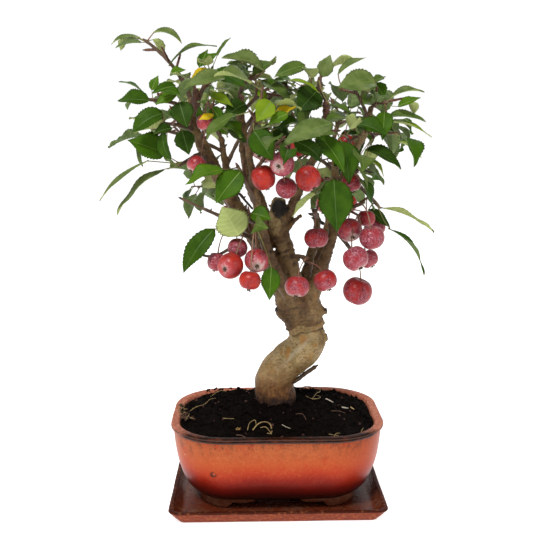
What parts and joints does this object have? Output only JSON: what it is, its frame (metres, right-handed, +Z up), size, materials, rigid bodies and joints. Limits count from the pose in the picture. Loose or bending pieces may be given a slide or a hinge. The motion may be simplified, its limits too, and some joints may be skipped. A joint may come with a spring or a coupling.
{
  "type": "crabapple bonsai",
  "caption": "Crabapple bonsai with a curving trunk, leafy boughs and hanging red fruit, in a glazed oval pot on a rectangular drip tray.",
  "frame": {"origin": "middle of the tray's flat underside, which stands on the table", "axes": "+Z up, -Y towards the front in the picture, +X to the picture's right; the pot's long side runs along X"},
  "size_m": [0.3104, 0.2672, 0.4398],
  "materials": {
    "pot_glaze": "gloss",
    "tray_glaze": "gloss",
    "soil": "matte",
    "bark": "satin",
    "foliage": "satin"
  },
  "bodies": {
    "root": {"tray": "tray_glaze", "pot": "pot_glaze", "soil": "soil", "trunk": "bark", "bough_back_left": "bark", "bough_back_right": "bark", "bough_centre_left": "bark", "bough_centre_right": "bark", "bough_front": "bark", "bough_inner_right": "bark", "bough_left": "bark", "bough_right": "bark", "leader": "bark", "back_centre": "foliage", "back_left_low": "foliage", "back_left_top": "foliage", "back_middle": "foliage", "back_right_low": "foliage", "back_right_top": "foliage", "cluster_centre": "foliage", "cluster_fork": "foliage", "cluster_left_low": "foliage", "cluster_low_centre": "foliage", "cluster_right": "foliage", "cluster_right_inner": "foliage", "crown_centre": "foliage", "crown_centre_left": "foliage", "crown_centre_right": "foliage", "crown_front": "foliage", "crown_middle": "foliage", "crown_right": "foliage", "droop_left": "foliage", "droop_right": "foliage", "fan_left": "foliage", "front_big": "foliage", "fruit_low_right": "foliage", "inner_left": "foliage", "leaf_low_front": "foliage", "shoot_left": "foliage", "side_left_back": "foliage", "side_right": "foliage", "side_right_back": "foliage", "sprig_top_left": "foliage", "tip_right": "foliage", "tuft_centre": "foliage", "tuft_left": "foliage", "twig_tip_left": "foliage"}
  },
  "joints": []
}
